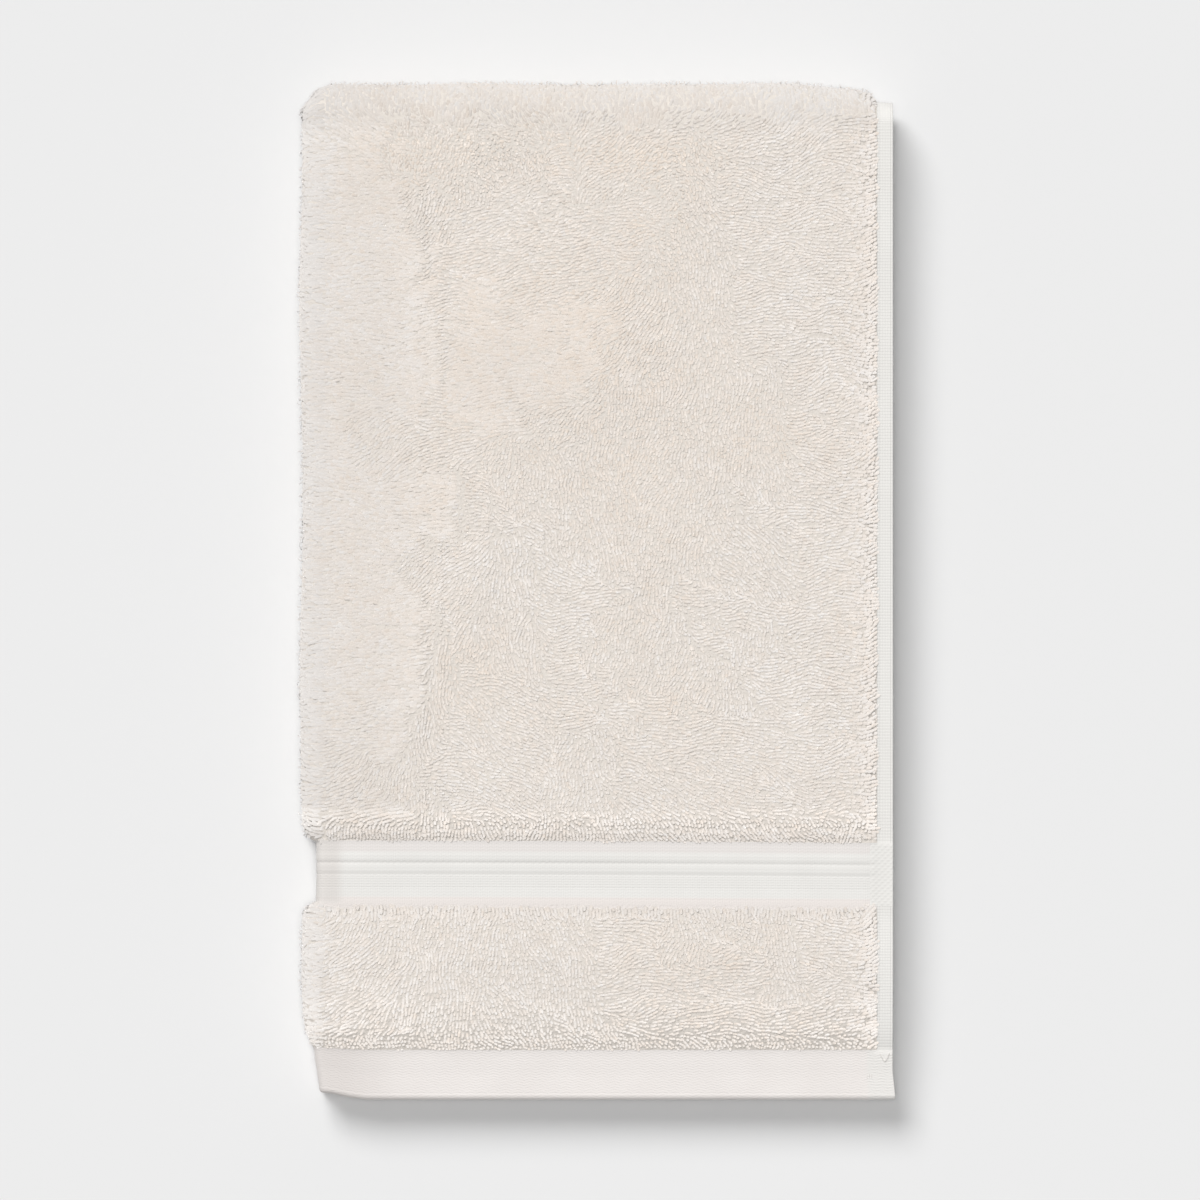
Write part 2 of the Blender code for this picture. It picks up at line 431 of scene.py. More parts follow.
def on_cloth(tree):
    """The place on the flat cloth, and its distances from the nearer side edge and end."""
    flat = add(tree, "ShaderNodeUVMap", uv_map="cloth").outputs[0]
    parts = add(tree, "ShaderNodeSeparateXYZ", {0: flat}).outputs
    return flat, from_near(Field(parts[0]), WIDTH), from_near(Field(parts[1]), LENGTH)


def woven(name, tint, shade, weave, depth):
    """Plain cotton cloth. weave(side, end) gives its threads' height, from -1 to 1, and its colour marks.
    The colour is paler where the threads stand high and darker where they lie low: painted light and shade.
    """
    material, tree, shader = cotton(name, 0.85, 0.12)
    flat, side, end = on_cloth(tree)
    height, colour_marks = weave(side, end)
    worn = noise(tree, flat, 60.0, 3.0) - 0.5
    # Painted light on high threads, painted shade on low ones and in grooves, and random wear
    colour = mixed(tree, 0.3 * height + 0.6 + 0.9 * worn, shade, tint)
    for amount, mark_colour in colour_marks:
        colour = mixed(tree, amount, colour, mark_colour)
    fibre = noise(tree, flat, 2600.0)
    surfaced(tree, shader, colour, height + 0.6 * fibre, depth, 0.8)
    return material


def side_weave(side, end):
    """Fine cross ribs of a woven side edge, with a line at the very edge. It is paler low down."""
    ribs = 0.3 * waves(end, 0.00104) + 0.2 * waves(side, 0.00092)
    colour_marks = ((0.4 * line(end, 0.042, 0.02, 0.006), SIDE_PALE),)
    return ribs - 0.7 * line(side, 0.0007, 0.0001, 0.0002), colour_marks


def basket_weave(side, end):
    """Small checks, where the border meets the side edge."""
    return 0.8 * waves(end, 0.0019) * waves(side, 0.0021) + 0.3 * waves(end, 0.00095), ()


def border_weave(side, end):
    """Fine lines along the border with close threads across, and scallops along its two grooves, which take
    painted shade.
    """
    scalloped = end + 0.00016 * waves(side, 0.0023)
    clear = 0.4 + 0.6 * line(side, WIDTH / 2, WIDTH / 2 - 0.11, 0.06)
    height = (
        0.15 * waves(scalloped, 0.00104)
        + 0.18 * waves(side, 0.0008)
        + 0.3 * waves(end, 0.0009) * line(end, 0.0763, 0.002, 0.001)
        - 0.9 * clear * line(scalloped, FIRST_GROOVE, 0.0002, 0.0007)
        - 0.5 * line(scalloped, SECOND_GROOVE, 0.0001, 0.0007)
        + 0.5 * line(end, 0.0722, 0.0012, 0.001)
    )
    return height, (
        (line(end, STRIP, 0.001, 0.0008), STRIP_PINK),
        (line(end, STRIP - 0.0009, 0.0004, 0.001), LOW_PINK),
        (0.75 * line(end, TOP_STRIP, 0.0022, 0.001), TOP_PINK),
        # Painted shade where the border wraps round the lengthwise fold
        (0.8 * line(side, WIDTH / 2, WIDTH / 2 - 0.1945, 0.0045), WRAP_PAINTED_SHADE),
    )


def hem_weave(side, end):
    """Rows of short slanting dashes that zigzag along the hem, and the rolled edge, with painted light on
    its crest and painted shade beside it.
    """
    rows = waves(end + 0.3 * side.step("PINGPONG", 0.0021), 0.00092)
    dashes = rows * (0.5 * waves(side + 1.4 * end, 0.0024) + 0.5)
    edge = end + 0.00012 * waves(side, 0.003)
    overlap = line(side, 0.0, 0.0078, 0.0024)
    height = (
        0.32 * dashes
        + 0.15 * overlap * waves(end, 0.00104)
        + 0.15 * line(edge, ROLLED_EDGE, 0.0003, 0.0002)
        - 0.25 * line(edge, ROLLED_EDGE + 0.0006, 0.0001, 0.0004)
        - 0.25 * line(edge, ROLLED_EDGE - 0.0007, 0.0001, 0.0003)
    )
    return height, (
        (0.75 * overlap, SIDE_TINT),
        # Painted shade where the hem wraps round the lengthwise fold, fading away from it
        (0.9 * line(side, WIDTH / 2, WIDTH / 2 - 0.193, 0.026), HEM_PAINTED_SHADE),
    )


def ground_cotton():
    """The ground cloth that shows between loops, darker than the loops as painted shade, in patches that are
    darker where their bump lies low.
    """
    material, tree, shader = cotton("terry_ground", 0.95, 0.1)
    flat, _, end = on_cloth(tree)
    patch = noise(tree, flat, 900.0)
    strip = line(end, STRIP - 0.0007, 0.0014, 0.001)
    colour = mixed(tree, strip, mixed(tree, patch, GROUND_SHADE_DARK, GROUND_SHADE_PALE), LOW_PINK)
    surfaced(tree, shader, colour, patch, 0.0006, 0.7)
    return material


def pile_cotton():
    """Combed loops: each has its own tone and its lightness, which holds painted light and shade, with
    painted shade at the root and on the flanks and painted light along the crest to the tip.
    """
    material, tree, shader = cotton("terry_pile", 0.9, 0.4)
    nodes = [add(tree, "ShaderNodeAttribute", attribute_name=name) for name in ("tone", "tip", "shade")]
    tone, tip, shade = (node.outputs["Fac"] for node in nodes)
    body = mixed(tree, tone, PILE_BEIGE, PILE_PALE)
    root = mixed(tree, tone, ROOT_SHADE_BEIGE, ROOT_SHADE_PALE)
    inputs = {0: mixed(tree, tip, root, body), "Scale": shade}
    colour = add(tree, "ShaderNodeVectorMath", inputs, operation="SCALE").outputs[0]
    twist = noise(tree, add(tree, "ShaderNodeTexCoord").outputs["Object"], 1800.0)
    surfaced(tree, shader, colour, twist, 0.0003, 0.5)
    return material


def thread_cotton():
    """Twisted sewing thread, darker where its twist's bump lies low: painted shade."""
    material, tree, shader = cotton("sewing_thread", 0.7, 0.2)
    twist = noise(tree, add(tree, "ShaderNodeTexCoord").outputs["Object"], 3000.0)
    surfaced(tree, shader, mixed(tree, twist, SIDE_SHADE, THREAD), twist, 0.0001, 0.5)
    return material


# ---- cloth


def mesh_of(name, points, faces):
    """A mesh from arrays of points and of faces, whose rows hold the same number of corners."""
    mesh = bpy.data.meshes.new(name)
    groups = [np.asarray(rows, np.int32) for rows in faces if len(rows)]
    counts = np.concatenate([np.full(len(rows), rows.shape[1], np.int32) for rows in groups])
    corners = np.concatenate([rows.ravel() for rows in groups])
    mesh.vertices.add(len(points))
    mesh.vertices.foreach_set("co", np.asarray(points, np.float32).ravel())
    mesh.loops.add(len(corners))
    mesh.loops.foreach_set("vertex_index", corners)
    mesh.polygons.add(len(counts))
    mesh.polygons.foreach_set("loop_start", np.concatenate([[0], np.cumsum(counts)[:-1]]).astype(np.int32))
    mesh.polygons.foreach_set("use_smooth", np.full(len(counts), True))
    mesh.update(calc_edges=True)
    mesh.validate()
    return mesh


def placed(name, data):
    """A new object in the scene."""
    made = bpy.data.objects.new(name, data)
    bpy.context.scene.collection.objects.link(made)
    return made


def piece(name, mesh, *materials):
    """A new object that rides on the towel's body and takes its cotton finish."""
    made = placed(name, mesh)
    for material in materials:
        mesh.materials.append(material)
    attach(made, "root")
    return made


def cloth_lines():
    """Places across and along the cloth where its mesh has lines: close at edges, ribs and folds."""
    edge = joined([0.0, 0.0003, 0.0008], spaced(0.0016, 0.008, 0.0008), [0.01, 0.013])
    fold = spaced(SIDE_STRAIGHT, WIDTH - SIDE_STRAIGHT, 0.001)
    wide = spaced(0.018, SIDE_STRAIGHT - 0.002, 0.006)
    across = joined(edge, wide, fold, WIDTH - wide, WIDTH - edge)
    rolled = [0.0, 0.0002, 0.0005, 0.001, 0.0016]
    hem = joined(rolled, spaced(0.0024, 0.0166, 0.0012), [0.0174, 0.0186, 0.02])
    terry = spaced(0.024, 0.064, 0.005)
    plain = joined([0.067, 0.0682, 0.0688, 0.0694], spaced(0.07, 0.0778, 0.0012))
    ribs = joined(spaced(0.0782, 0.0906, 0.0004), [0.091, 0.092, 0.094])
    main = spaced(0.1, END_STRAIGHT - 0.003, 0.006)
    bend = spaced(END_STRAIGHT, LENGTH - END_STRAIGHT, 0.0014)
    half = joined(hem, terry, plain, ribs, main)
    return across, joined(half, bend, LENGTH - half)


def cloth_mesh():
    """One closed slab: an outer and an inner face on the ground cloth, joined all round the edges."""
    columns, rows = cloth_lines()
    across, along = (grid.ravel() for grid in np.meshgrid(columns, rows, indexing="ij"))
    points = np.concatenate([laid(across, along, ground_out(across, along, face)) for face in (1, -1)])
    n, m = len(columns), len(rows)
    at = np.arange(n * m).reshape(n, m)
    a, b, c, d = (part.ravel() for part in (at[:-1, :-1], at[1:, :-1], at[1:, 1:], at[:-1, 1:]))
    outer, inner = np.stack([a, b, c, d], 1), np.stack([d, c, b, a], 1) + n * m
    rim = np.concatenate([at[:-1, 0], at[-1, :-1], at[:0:-1, -1], at[0, :0:-1]])
    ahead = np.roll(rim, -1)
    edges = np.stack([rim, rim + n * m, ahead + n * m, ahead], 1)
    mesh = mesh_of("cloth", points, [outer, inner, edges])

    flat = np.concatenate([np.stack([across, along], 1)] * 2)
    corners = np.concatenate([outer, inner, edges])
    layer = mesh.uv_layers.new(name="cloth")
    layer.uv.foreach_set("vector", flat[corners.ravel()].astype(np.float32).ravel())
    middle = flat[corners].mean(1)
    mesh.polygons.foreach_set("material_index", region(*from_edges(middle[:, 0], middle[:, 1])))
    mesh.update()
    return mesh


def region(side, end):
    """Which weave a place has: 0 terry ground, 1 side edge, 2 checks, 3 border, 4 hem."""
    border = (end > BORDER_FROM) & (end < BORDER_TO)
    kind = np.where(end < HEM_TO, 4, np.where(border, 3, 0))
    kind = np.where((side < TERRY_SIDE) & (end > HEM_TO), 1, kind)
    return np.where((side < CHECKS_SIDE) & border, 2, kind).astype(np.int32)


def make_cloth():
    """The folded sheet, which stands for the CAD's solid."""
    made = piece(
        "cloth",
        cloth_mesh(),
        ground_cotton(),
        woven("side_weave", SIDE_TINT, SIDE_SHADE, side_weave, 0.0001),
        woven("basket_weave", SIDE_TINT, SIDE_SHADE, basket_weave, 0.00005),
        woven("border_weave", BORDER_TINT, BORDER_SHADE, border_weave, 0.0001),
        woven("hem_weave", HEM_TINT, HEM_SHADE, hem_weave, 0.00012),
    )
    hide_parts("towel")
    return made


# ---- pile


def near(row, x, y):
    """1 at the middle of a row's patch, fading away from it."""
    return np.exp(-(((x - row.x) / row.half_x) ** 2) - ((y - row.y) / row.half_y) ** 2)


# How the top face's pile is combed, seen from above in the towel's frame. Later rows lie over earlier ones.
# x and y are a patch's middle, half_x and half_y its reach, soft the width over which it fades, to_x and
# to_y where its loops lean, and lay how flat they lie.
Comb = namedtuple("Comb", "x y half_x half_y soft to_x to_y lay")
COMBS = in_metres(
    Comb,
    5,
    (0, 0, 300, 300, 10, 1, 0.08, 0.65),  # right half
    (-20, 100, 36, 52, 10, -1, -0.12, 0.66),  # left of the middle
    (-20, 118, 24, 22, 12, -1, -0.18, 0.72),
    (1, 150, 3, 10, 7, 0.05, 1, 0.6),
    (16, 148, 12, 8, 8, 0.85, 0.52, 0.6),
    (35, 134, 6, 17, 8, 0.36, -0.93, 0.6),
    (12, 94, 13, 7, 8, -0.45, -0.9, 0.75),
    (-22, 82, 20, 14, 12, -1, -0.02, 0.98),  # smooth beige patch
    (20, 70, 12, 8, 8, -0.55, -0.85, 0.9),
    (33, 95, 6, 22, 10, 0.1, -1, 0.62),
    (52, 56, 8, 14, 10, 0.1, -1, 0.6),
    (22, 44, 19, 22, 8, -0.22, -0.97, 0.6),  # columns
    (19, -8, 18, 26, 8, -0.12, -1, 0.58),
    (38, 14, 10, 10, 6, -0.05, -1, 0.58),
    (36, -1, 5, 5, 5, 1, 0.15, 0.6),
    (-12, 44, 22, 10, 8, 0.05, -1, 0.62),
    (-9, 16, 9, 10, 7, 0.15, -1, 0.62),
    (-17, -4, 9, 18, 7, 0.9, -0.36, 0.64),
    (-6, -12, 6, 14, 6, 1, 0.1, 0.62),
    (-42, 8, 9, 14, 7, -0.72, -0.7, 0.76),  # left of the whorl
    (-41, -14, 6, 12, 6, -0.42, -0.9, 0.66),
    (-32, 4, 5, 14, 5, -0.1, -1, 0.66),
    (-30, -26, 6, 14, 6, 0.25, -0.96, 0.66),
    (57, 8, 11, 12, 8, 0.78, -0.62, 0.62),
    (50, -32, 8, 8, 6, 0.05, -1, 0.6),
    (30, -34, 10, 5, 5, -0.55, -0.83, 0.6),
    (-40, -46, 10, 20, 8, 1, -0.18, 0.62),
    (-28, -58, 10, 20, 8, 0.8, -0.55, 0.62),
    (-2, -68, 13, 14, 8, 0.04, -1, 0.6),
    (38, -71, 26, 8, 8, 0.92, -0.4, 0.6),
    (-82, 20, 24.5, 180, 6, -1, 0, 0.97),  # beside the lengthwise fold
    (-56, -35, 3, 14, 8, 0, -1, 0.72),
    (-88, -68, 14, 14, 12, -0.95, -0.25, 0.86),
    (-66, 52, 11, 7, 8, -0.84, -0.54, 0.9),
    (-52, 46, 6, 8, 6, -0.9, -0.4, 0.78),
    (-76, -64, 5, 6, 6, -0.5, -0.86, 0.86),
    (-64, -68, 7, 15, 5, -0.05, -1, 0.8),
    (-53, 132, 4, 14, 6, -0.42, -0.9, 0.6),  # beside the rough patch
    (-60, 152, 10, 9, 6, 0.1, 1, 0.52),  # rough patch
    (-34, 150, 12, 8, 6, 0.4, -0.9, 0.5),
    (-26, 163, 18, 4, 6, -0.8, 0.6, 0.66),
    (52, 163, 46, 5, 6, 0.9, 0.42, 0.7),
    (-26, 174, 52, 5, 5, 0.05, 1, 0.92),  # beside the crosswise fold
    (45, 174, 22, 5, 8, 0.62, 0.78, 0.92),
    (85, 174, 18, 5, 8, 0.86, 0.5, 0.9),
    (-92, 170, 10, 8, 8, -0.8, 0.6, 0.92),
    (-92, -133, 8, 24, 8, -0.92, -0.4, 0.84),  # lower terry
    (-75, -133, 6, 22, 8, -0.55, -0.83, 0.76),
    (-60, -133, 7, 22, 7, -0.25, -0.97, 0.66),
    (-42, -131, 10, 24, 7, 0, -1, 0.62),
    (-16, -131, 13, 22, 8, 0.34, -0.94, 0.6),
    (36, -116, 12, 6, 5, 0.02, -1, 0.6),
    (62, -126, 7, 12, 5, 0.05, -1, 0.6),
)
EDGE_COMBS = in_metres(
    Comb,
    5,
    (0, -109, 110, 2, 3, 0.1, -1, 0.9),  # below the border
    (0, -85, 110, 1, 7.5, 0.05, -1, 0.48),  # over the border
    (46, -85, 34, 1, 7.5, 0.55, -0.84, 0.55),
    (0, -159, 110, 0.8, 6, 0.45, -0.85, 0.26),  # over the hem
    (97, 30, 2, 190, 5, 0.9, 0.44, 0.7),  # over the side edge
)


def combed(x, y):
    """Which way loops on the top face lean, from above, and how flat they lie."""
    to = np.zeros((3, len(x)))
    bent_x = x + 0.0045 * ripple(x, y, 0.035, 15) + 0.0015 * ripple(x, y, 0.01, 16)
    bent_y = y + 0.0045 * ripple(x, y, 0.035, 17) + 0.0015 * ripple(x, y, 0.01, 18)
    for row in COMBS + EDGE_COMBS:
        at_x, at_y = (x, y) if row in EDGE_COMBS else (bent_x, bent_y)
        inside = 1 - eased(0, row.soft, np.abs(at_x - row.x) - row.half_x)
        inside = inside * (1 - eased(0, row.soft, np.abs(at_y - row.y) - row.half_y))
        to = to * (1 - inside) + np.array([[row.to_x], [row.to_y], [row.lay]]) * inside
    to[2] = to[2] * (0.35 + 0.65 * eased(0.3, 1.0, np.hypot(to[0], to[1])))
    return to


# Where the top face's pile stands up, tangled
Tangle = namedtuple("Tangle", "x y half_x half_y")
TANGLES = in_metres(
    Tangle,
    4,
    (-42, 152, 24, 12),
    (-20, 134, 12, 10),
    (28, 150, 20, 6),
)


def tangled(x, y):
    """How tangled the top face's pile is, from 0 to 1."""
    return np.max([near(row, x, y) for row in TANGLES], axis=0)


# The combed loops of the top face lie in fine uneven rows, side by side
ROW_PITCH = 0.00114
ROW_CELL = 0.00036
ROW_WIDE, ROW_LONG = 0.214, 0.36
ROW_SPREAD = 0.0013  # over what distance a row keeps in step with its neighbours
ROW_HEADINGS = 24
ROW_PASSES = 5

Rows = namedtuple("Rows", "phase heading")


def heading_at(x, y):
    """The direction in which loops of the top face lean."""
    to = combed(x, y)
    wander = 0.22 * ripple(x, y, 0.03, 11) + 0.24 * ripple(x, y, 0.011, 12)
    wander = wander + 0.08 * ripple(x, y, 0.0045, 13)
    wander = wander + 0.3 * ripple(x, y, 0.0035, 19) * tangled(x, y)
    return np.arctan2(to[1], to[0]) + wander * (1.3 - 0.95 * to[2])


def combed_rows():
    """How far a place is through its row, as an angle that is 0 on a row's crest, and that row's heading.

    Even grain, filtered again and again with a narrow band of waves that run across the combing, settles
    into rows that follow it, and that begin and end where it spreads.
    """
    x = np.arange(-ROW_WIDE / 2, ROW_WIDE / 2, ROW_CELL)
    y = np.arange(-ROW_LONG / 2, ROW_LONG / 2, ROW_CELL)
    grid = [part.ravel() for part in np.meshgrid(x, y, indexing="ij")]
    shape = len(x), len(y)
    turn = math.pi / ROW_HEADINGS
    nearest = np.round(np.mod(heading_at(*grid), math.pi) / turn).astype(int).reshape(shape) % ROW_HEADINGS
    per_x, per_y = np.fft.fftfreq(shape[0], ROW_CELL)[:, None], np.fft.fftfreq(shape[1], ROW_CELL)[None, :]
    grain = np.random.default_rng(6).normal(size=shape)
    for _ in range(ROW_PASSES):
        spectrum = np.fft.fft2(grain)
        wave = np.zeros(shape, complex)
        for k in range(ROW_HEADINGS):
            off = np.hypot(per_x + math.sin(k * turn) / ROW_PITCH, per_y - math.cos(k * turn) / ROW_PITCH)
            chosen = nearest == k
            if chosen.any():
                band = np.exp(-2 * (math.pi * ROW_SPREAD * off) ** 2)
                wave[chosen] = np.fft.ifft2(spectrum * band)[chosen]
        grain = np.cos(np.angle(wave))
    return Rows(np.angle(wave), nearest * turn)


def moved_to_rows(rows, x, y):
    """How far to move places so that each lies on the crest of its row."""
    at_x = np.clip(np.round((x + ROW_WIDE / 2) / ROW_CELL).astype(int), 0, rows.phase.shape[0] - 1)
    at_y = np.clip(np.round((y + ROW_LONG / 2) / ROW_CELL).astype(int), 0, rows.phase.shape[1] - 1)
    heading = rows.heading[at_x, at_y]
    aside = -np.sin(heading), np.cos(heading)
    off_x = x - (at_x * ROW_CELL - ROW_WIDE / 2)
    off_y = y - (at_y * ROW_CELL - ROW_LONG / 2)
    off = off_x * aside[0] + off_y * aside[1]
    back = -rows.phase[at_x, at_y] / (2 * math.pi) * ROW_PITCH - off
    back = (back / ROW_PITCH + 0.5) % 1.0 - 0.5
    return back * ROW_PITCH * aside[0], back * ROW_PITCH * aside[1]


# The tone of ordinary loops, from 0, beige, to 1, pinkish white, and their lightness
PILE_TONE = 0.6
PILE_LIGHT = 1.052

# Patches where the top face's cotton looks more beige (below 0) or more pinkish white (above 0)
Patch = namedtuple("Patch", "x y half_x half_y tone")
PATCHES = in_metres(
    Patch,
    4,
    (-100, 0, 8, 900, 0.42),
    (-12, 85, 40, 36, -0.34),
    (18, 125, 22, 30, -0.26),
    (-50, 150, 28, 13, -0.46),
    (14, 151, 30, 8, -0.4),
    (-42, 85, 9, 24, -0.16),
    (-57, 31, 11, 14, -0.26),
    (22, 45, 40, 30, -0.22),
    (66, 52, 22, 10, -0.2),
    (-18, 12, 26, 20, 0.08),
    (-46, -26, 14, 20, -0.24),
    (10, -8, 14, 18, -0.22),
    (25, -36, 18, 10, -0.2),
    (70, 0, 24, 60, 0.08),
    (0, 175, 200, 5, 0.16),
    (82, 172, 26, 8, 0.3),
    (-42, -68, 20, 6, 0.12),
    (0, -133, 200, 26, 0.08),
    (36, -130, 26, 14, -0.34),
    (40, -149, 30, 6, -0.2),
)


def toned(x, y, rng):
    """Each loop's tone, from 0, beige, to 1, pinkish white."""
    tone = PILE_TONE + 0.05 * ripple(x, y, 0.045, 31) + 0.06 * ripple(x, y, 0.012, 32)
    tone = tone + sum(row.tone * near(row, x, y) for row in PATCHES)
    return np.clip(tone + rng.normal(0, 0.14, len(x)), 0, 1)


# Patches of painted shade (below 0) or painted light (above 0) on the top face's pile
Light = namedtuple("Light", "x y half_x half_y change")
LIGHTS = in_metres(
    Light,
    4,
    (-32, 76, 34, 20, -0.07),
    (-57, 31, 11, 14, -0.03),
    (-78, -140, 20, 22, 0.065),
    (-80, 162, 24, 8, 0.03),
)


def uneven_and_painted_light(x, y, smooth, rng):
    """Each loop's lightness: random unevenness, and painted light and shade: less at the folds, which face
    the light, more at woven edges, where the pile slopes away from it.
    """
    lower = eased(0.1, 0.101, -y)  # 1 on the terry below the border

    # Painted shade on the crosswise fold, and then on the flank and the outline of the lengthwise one
    far = 0.15 * (eased(0.156, 0.168, y) - 0.3 * eased(0.175, 0.178, y))
    flank = (1 - eased(-0.078, -0.052, x)) * (1 - eased(0.1005, 0.1035, -x))
    left = (0.088 - 0.055 * lower) * flank * (1 - 0.5 * eased(0.135, 0.16, y))
    left = left + (0.035 + 0.03 * lower) * eased(0.089, 0.096, -x)

    # Painted light beside the side edge, the border's two sides, and the hem, with painted shadow on the
    # edge that hangs over the border and painted shade on the right of the lower terry's top rows
    light = 0.055 * eased(0.089, 0.096, x)
    above = eased(0.074, 0.0775, -y) - eased(0.081, 0.0845, -y)
    light = light + (0.105 + 0.03 * (1 - eased(-0.075, -0.03, x))) * above
    light = light - 0.045 * eased(0.0815, 0.0855, -y) * (1 - lower)
    light = light - 0.045 * lower * (1 - eased(0.112, 0.116, -y)) * eased(-0.08, 0.02, x)
    light = light + 0.015 * lower + 0.065 * eased(0.138, 0.144, -y) + 0.07 * eased(0.148, 0.153, -y)

    uneven = rng.normal(0, 0.034, len(x)) * (1 - 0.6 * smooth) * (1 + 0.6 * tangled(x, y))
    patches = sum(row.change * near(row, x, y) for row in LIGHTS)
    return PILE_LIGHT - far - left + light + uneven + patches


# Where tips may reach to, from the side edge and from the end
SIDE_TIPS = 0.0051
HEM_TIPS = 0.0172
BORDER_TIPS = 0.0902
LEAST_REACH = 0.0008
TOP_FROM = LENGTH / 2 + 0.014  # where the top face's own pile begins, past the crosswise fold

Roots = namedtuple("Roots", "across along face")
ROW_BEND = 0.00035
ROW_JITTER = 0.22


def scattered(across_from, across_to, along_from, along_to, pitch_across, pitch_along, face, rng):
    """Roots in slightly uneven rows over a rectangle of flat cloth, where it has terry."""
    columns = np.arange(across_from, across_to, pitch_across)
    rows = np.arange(along_from, along_to, pitch_along)
    across, along = (grid.ravel() for grid in np.meshgrid(columns, rows, indexing="ij"))
    bent = ROW_BEND * ripple(across, along, 0.02, 41), ROW_BEND * ripple(across, along, 0.02, 42)
    across = across + bent[0] + rng.uniform(-ROW_JITTER, ROW_JITTER, len(across)) * pitch_across
    along = along + bent[1] + rng.uniform(-ROW_JITTER, ROW_JITTER, len(along)) * pitch_along
    side, end = from_edges(across, along)
    within = np.logical_or.reduce([(end > low) & (end < high) for low, high in PILE_ENDS])
    terry = (side > PILE_SIDE) & within
    return Roots(across[terry], along[terry], np.full(terry.sum(), face))


# A loop's rings between its root and its tip: share of its lean, of its height, and of its width
RINGS = ((0.22, 0.74, 1.00), (0.82, 1.00, 0.88))
SHORT_RINGS = ((0.6, 0.95, 1.00),)
TIP = (1.00, 0.94, 0.00)
CREST = (0.12, 1.00)  # paleness along a loop's crest, from root to tip, and along its flanks: painted shade at the root and on the flanks, painted light on the crest
FLANK = (0.00, 0.16)
SMOOTH_TIP = 0.55  # paleness of a smooth loop, all over, in place of most of its painted light and shade
LOOP_WIDTH = 0.00114
LOOP_FLATNESS = 0.4
SOFTNESS = 0.73  # how far a loop's shading follows the face of the cloth, as soft pile's does
SKYWARD = 1.2  # how far the shading of loops on top leans towards straight up, as light passes through pile
NORMAL_STEP = 0.0003
FLOOR_GAP = 0.0002
ROOT_DEPTH = 0.0004  # how far a root lies in the ground cloth
LEAST_PILE = 0.0006  # from there to a tip that lies over a weave without pile


def unit(vectors):
    """Vectors of length 1 in the same directions."""
    return vectors / np.maximum(np.linalg.norm(vectors, axis=-1, keepdims=True), 1e-12)


def over(roots):
    """Where the solid's face lies over each root."""
    return laid(roots.across, roots.along, face_out(*roots))


def frames(roots):
    """At each root, directions across and along the cloth and out of it."""
    across, along, face = roots
    step = NORMAL_STEP
    out = face_out(across, along, face)
    to_across = unit(laid(across + step, along, out) - laid(across - step, along, out))
    to_along = unit(laid(across, along + step, out) - laid(across, along - step, out))
    up = unit(np.cross(to_across, to_along))
    up = up * np.sign((up * (laid(across, along, out) - laid(across, along, 0 * out))).sum(1, keepdims=True))
    return to_across, to_along, up


# How a piece's loops lie and look: which way they lean across and along the cloth, how far, how high their
# tips stand as a share of the pile's height, how smooth they are pressed, and their tone and lightness,
# which holds painted light and shade
Loops = namedtuple("Loops", "across along reach rise smooth tone shade")


def along_loops(roots, loops, gone, risen):
    """Points this share of the way along the loops, and this share of the way up through their pile."""
    across = np.clip(roots.across + loops.across * loops.reach * gone, 0, WIDTH)
    along = np.clip(roots.along + loops.along * loops.reach * gone, 0, LENGTH)
    low = laid(across, along, ground_out(across, along, roots.face) - roots.face * ROOT_DEPTH)
    way = laid(across, along, face_out(across, along, roots.face)) - low
    depth = np.maximum(np.linalg.norm(way, axis=1), LEAST_PILE)
    return low + unit(way) * (depth * loops.rise * risen)[:, None]


def loop_faces(count, each):
    """The faces of loops with this many points each, from root to tip: their sides, and then their ends."""
    first = np.arange(count)[:, None, None] * each
    sides, ends = [], []
    last = each - 4
    for corner in range(3):
        after = (corner + 1) % 3
        sides += [[k + corner, k + after, k + 3 + after, k + 3 + corner] for k in range(1, last, 3)]
        ends += [[0, 1 + after, 1 + corner], [last + corner, last + after, each - 1]]
    return [
        (first + np.array(sides, int).reshape(1, -1, 4)).reshape(-1, 4),
        (first + np.array(ends)).reshape(-1, 3),
    ]


